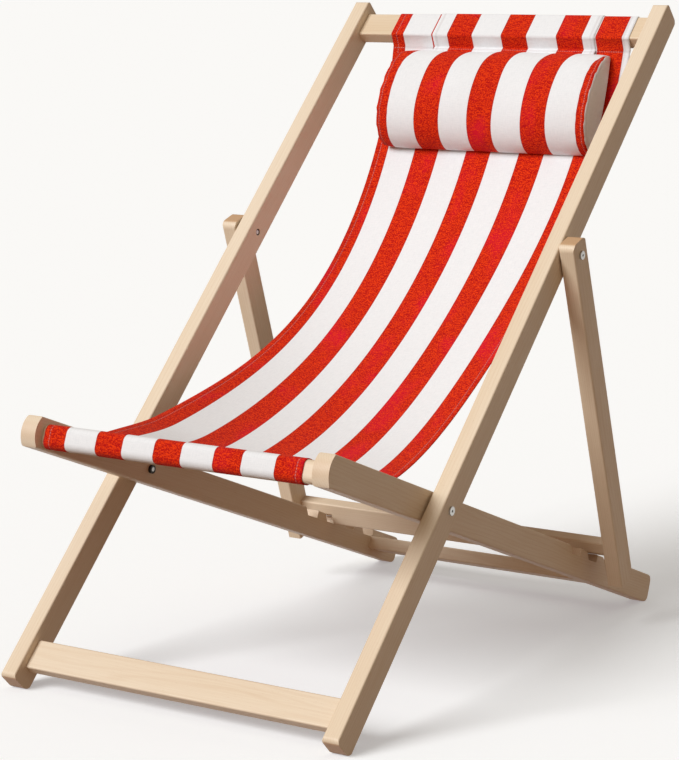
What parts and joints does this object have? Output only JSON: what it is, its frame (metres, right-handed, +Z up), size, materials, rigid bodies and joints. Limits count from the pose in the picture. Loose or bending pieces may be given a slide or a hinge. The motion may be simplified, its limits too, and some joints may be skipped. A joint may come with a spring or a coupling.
{
  "type": "folding deck chair",
  "caption": "Folding wooden deck chair: nested main, seat and prop frames, a hung striped sling and a bolster head pillow.",
  "frame": {"origin": "on the floor under the middle of the chair", "axes": "+X to the left-hand side of a person sitting in the chair, +Y towards the chair back, +Z up; the chair faces -Y"},
  "size_m": [0.5864, 0.9248, 0.8973],
  "materials": {
    "dowel_wood": "plain turned",
    "fibre_filling": "soft fibre fill",
    "rail_wood": "oiled, fine grain",
    "striped_canvas": "red and white woven canvas",
    "zinc_steel": "zinc plated"
  },
  "bodies": {
    "main_frame": {"main_rail_left": "rail_wood", "main_rail_right": "rail_wood", "top_bar": "rail_wood", "foot_board": "rail_wood", "main_frame_dowels": "dowel_wood", "seat_pivot_bolts": "zinc_steel", "seat_pivot_washers": "zinc_steel", "seat_pivot_nuts": "zinc_steel", "prop_pivot_bolts": "zinc_steel", "prop_pivot_washers": "zinc_steel", "prop_pivot_nuts": "zinc_steel", "sling": "striped_canvas", "pillow_flap": "striped_canvas"},
    "seat_frame": {"seat_rail_left": "rail_wood", "seat_rail_right": "rail_wood", "front_bar": "rail_wood", "rear_stretcher": "rail_wood", "seat_frame_dowels": "dowel_wood"},
    "prop_frame": {"prop_strut_left": "rail_wood", "prop_strut_right": "rail_wood", "prop_board": "rail_wood", "prop_frame_dowels": "dowel_wood"},
    "head_pillow": {"pillow_cover": "striped_canvas", "pillow_filling": "fibre_filling"}
  },
  "joints": [
    {"name": "seat_fold", "type": "hinge", "parent": "main_frame", "child": "seat_frame", "pos_m": [0, -0.19958, 0.26161], "axis": [1, 0, 0], "range_deg": [0, 65.63], "deforming": ["sling"]},
    {"name": "prop_swing", "type": "hinge", "parent": "main_frame", "child": "prop_frame", "pos_m": [0, 0.1013, 0.5646], "axis": [1, 0, 0], "range_deg": [0, 116]},
    {"name": "pillow_lift", "type": "hinge", "parent": "main_frame", "child": "head_pillow", "pos_m": [0, 0.37255, 0.84768], "axis": [-1, 0, 0], "range_deg": [0, 80], "deforming": ["pillow_flap"]}
  ],
  "couplings": [
    {"joint": "prop_swing", "follows": "seat_fold", "ratio": 1.7644}
  ]
}
